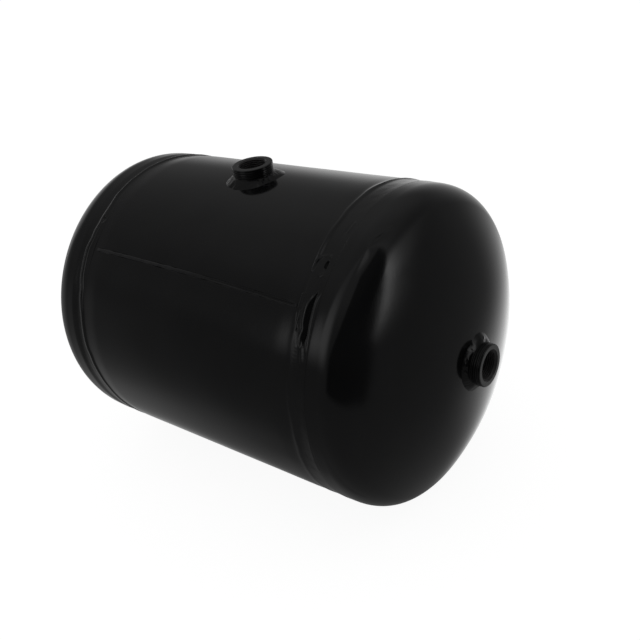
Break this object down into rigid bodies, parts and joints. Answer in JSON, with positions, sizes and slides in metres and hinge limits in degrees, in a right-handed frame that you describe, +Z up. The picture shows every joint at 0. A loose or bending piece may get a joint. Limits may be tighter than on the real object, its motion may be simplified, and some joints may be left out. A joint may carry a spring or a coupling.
{
  "type": "horizontal pressure tank",
  "caption": "Small horizontal welded steel pressure tank with dished ends, a lengthwise seam weld, girth welds, and a threaded port on top and in the middle of each end.",
  "frame": {"origin": "on the floor, midway along the tank, straight under its axis", "axes": "+X along the tank's axis to the near head, +Z up through the port on the shell, and +Y across"},
  "size_m": [0.3864, 0.246, 0.2565],
  "materials": {
    "black_paint": "glossy black enamel over steel"
  },
  "bodies": {
    "root": {"shell": "black_paint", "seam_weld": "black_paint", "near_head": "black_paint", "far_head": "black_paint", "near_girth_weld": "black_paint", "far_girth_weld": "black_paint", "top_port": "black_paint", "top_port_weld": "black_paint", "near_port": "black_paint", "near_port_weld": "black_paint", "far_port": "black_paint", "far_port_weld": "black_paint"}
  },
  "joints": []
}
